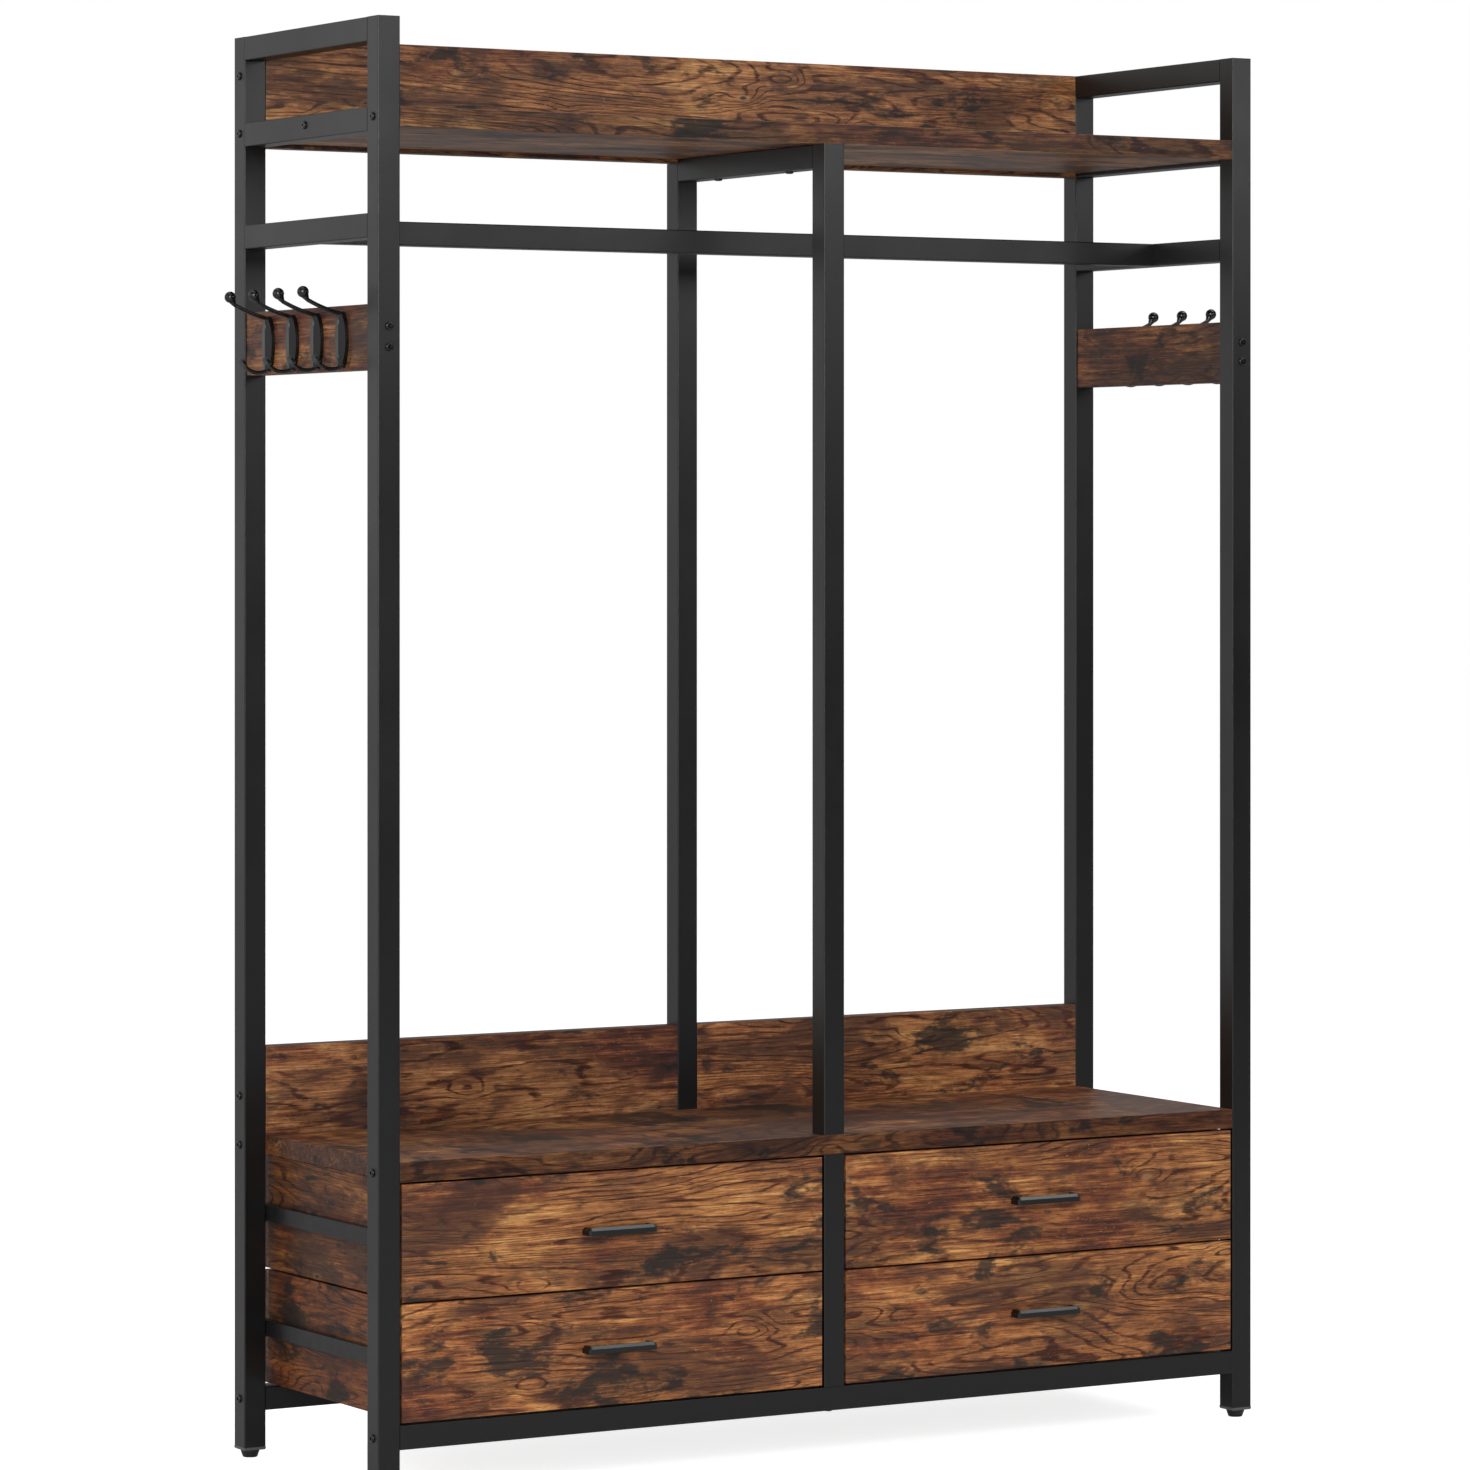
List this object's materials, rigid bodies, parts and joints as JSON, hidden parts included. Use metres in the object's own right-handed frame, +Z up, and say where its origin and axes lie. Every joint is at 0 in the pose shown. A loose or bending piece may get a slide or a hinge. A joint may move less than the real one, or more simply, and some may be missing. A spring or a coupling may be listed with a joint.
{
  "type": "hall tree with hooks",
  "caption": "Steel-framed hall tree with coat hooks at both ends, a hanging rod under a top shelf, and a bench seat over sliding drawers.",
  "frame": {"origin": "on the floor, under the middle of the object's box, handles and bolt heads included", "axes": "+X to the right as seen from in front, +Y to the back, +Z up"},
  "size_m": [1.4202, 0.4208, 1.8025],
  "materials": {
    "black_steel": "satin black powder coat",
    "rustic_board": "rustic brown wood-look laminate, matt",
    "drawer_bottom": "thin dark laminated fibreboard",
    "hook_cast": "satin black paint on cast metal",
    "bolt_black": "black oxide, slightly glossy",
    "zinc_steel": "zinc plated",
    "slide_steel": "dark zinc coated steel",
    "grey_plastic": "matt charcoal plastic",
    "black_plastic": "matt black plastic"
  },
  "bodies": {
    "frame": {"left_front_upright": "black_steel", "left_rear_upright": "black_steel", "right_front_upright": "black_steel", "right_rear_upright": "black_steel", "left_side_rails": "black_steel", "right_side_rails": "black_steel", "center_front_post": "black_steel", "center_rear_post": "black_steel", "center_top_rail": "black_steel", "cabinet_center_post": "black_steel", "front_bottom_rail": "black_steel", "rear_bottom_rail": "black_steel", "hanging_rod": "black_steel", "top_shelf": "rustic_board", "top_back_panel": "rustic_board", "bench_top": "rustic_board", "left_backsplash": "rustic_board", "right_backsplash": "rustic_board", "left_hook_board": "rustic_board", "right_hook_board": "rustic_board", "left_hooks": "hook_cast", "right_hooks": "hook_cast", "hook_screws": "bolt_black", "frame_bolts": "bolt_black", "joining_studs": "zinc_steel", "threaded_inserts": "zinc_steel", "leg_plugs": "grey_plastic", "slide_channels": "slide_steel"},
    "left_front_foot_body": {"left_front_foot": "black_plastic"},
    "right_front_foot_body": {"right_front_foot": "black_plastic"},
    "left_rear_foot_body": {"left_rear_foot": "black_plastic"},
    "right_rear_foot_body": {"right_rear_foot": "black_plastic"},
    "upper_left_drawer": {"upper_left_drawer_front": "rustic_board", "upper_left_drawer_sides": "rustic_board", "upper_left_drawer_back": "rustic_board", "upper_left_drawer_bottom": "drawer_bottom", "upper_left_drawer_handle": "hook_cast", "upper_left_drawer_slides": "slide_steel"},
    "upper_left_ball_cages_body": {"upper_left_ball_cages": "slide_steel"},
    "upper_right_drawer": {"upper_right_drawer_front": "rustic_board", "upper_right_drawer_sides": "rustic_board", "upper_right_drawer_back": "rustic_board", "upper_right_drawer_bottom": "drawer_bottom", "upper_right_drawer_handle": "hook_cast", "upper_right_drawer_slides": "slide_steel"},
    "upper_right_ball_cages_body": {"upper_right_ball_cages": "slide_steel"},
    "lower_left_drawer": {"lower_left_drawer_front": "rustic_board", "lower_left_drawer_sides": "rustic_board", "lower_left_drawer_back": "rustic_board", "lower_left_drawer_bottom": "drawer_bottom", "lower_left_drawer_handle": "hook_cast", "lower_left_drawer_slides": "slide_steel"},
    "lower_left_ball_cages_body": {"lower_left_ball_cages": "slide_steel"},
    "lower_right_drawer": {"lower_right_drawer_front": "rustic_board", "lower_right_drawer_sides": "rustic_board", "lower_right_drawer_back": "rustic_board", "lower_right_drawer_bottom": "drawer_bottom", "lower_right_drawer_handle": "hook_cast", "lower_right_drawer_slides": "slide_steel"},
    "lower_right_ball_cages_body": {"lower_right_ball_cages": "slide_steel"}
  },
  "joints": [
    {"name": "left_front_foot_turn", "type": "hinge", "parent": "frame", "child": "left_front_foot_body", "pos_m": [-0.635, -0.1774, 0], "axis": [0, 0, 1], "continuous": true},
    {"name": "right_front_foot_turn", "type": "hinge", "parent": "frame", "child": "right_front_foot_body", "pos_m": [0.635, -0.1774, 0], "axis": [0, 0, 1], "continuous": true},
    {"name": "left_rear_foot_turn", "type": "hinge", "parent": "frame", "child": "left_rear_foot_body", "pos_m": [-0.635, 0.1926, 0], "axis": [0, 0, 1], "continuous": true},
    {"name": "right_rear_foot_turn", "type": "hinge", "parent": "frame", "child": "right_rear_foot_body", "pos_m": [0.635, 0.1926, 0], "axis": [0, 0, 1], "continuous": true},
    {"name": "upper_left_drawer_slide", "type": "slide", "parent": "frame", "child": "upper_left_drawer", "axis": [0, -1, 0], "range_m": [0, 0.25]},
    {"name": "upper_left_cage_slide", "type": "slide", "parent": "frame", "child": "upper_left_ball_cages_body", "axis": [0, -1, 0], "range_m": [0, 0.125]},
    {"name": "upper_right_drawer_slide", "type": "slide", "parent": "frame", "child": "upper_right_drawer", "axis": [0, -1, 0], "range_m": [0, 0.25]},
    {"name": "upper_right_cage_slide", "type": "slide", "parent": "frame", "child": "upper_right_ball_cages_body", "axis": [0, -1, 0], "range_m": [0, 0.125]},
    {"name": "lower_left_drawer_slide", "type": "slide", "parent": "frame", "child": "lower_left_drawer", "axis": [0, -1, 0], "range_m": [0, 0.25]},
    {"name": "lower_left_cage_slide", "type": "slide", "parent": "frame", "child": "lower_left_ball_cages_body", "axis": [0, -1, 0], "range_m": [0, 0.125]},
    {"name": "lower_right_drawer_slide", "type": "slide", "parent": "frame", "child": "lower_right_drawer", "axis": [0, -1, 0], "range_m": [0, 0.25]},
    {"name": "lower_right_cage_slide", "type": "slide", "parent": "frame", "child": "lower_right_ball_cages_body", "axis": [0, -1, 0], "range_m": [0, 0.125]}
  ],
  "couplings": [
    {"joint": "upper_left_cage_slide", "follows": "upper_left_drawer_slide", "ratio": 0.5},
    {"joint": "upper_right_cage_slide", "follows": "upper_right_drawer_slide", "ratio": 0.5},
    {"joint": "lower_left_cage_slide", "follows": "lower_left_drawer_slide", "ratio": 0.5},
    {"joint": "lower_right_cage_slide", "follows": "lower_right_drawer_slide", "ratio": 0.5}
  ]
}
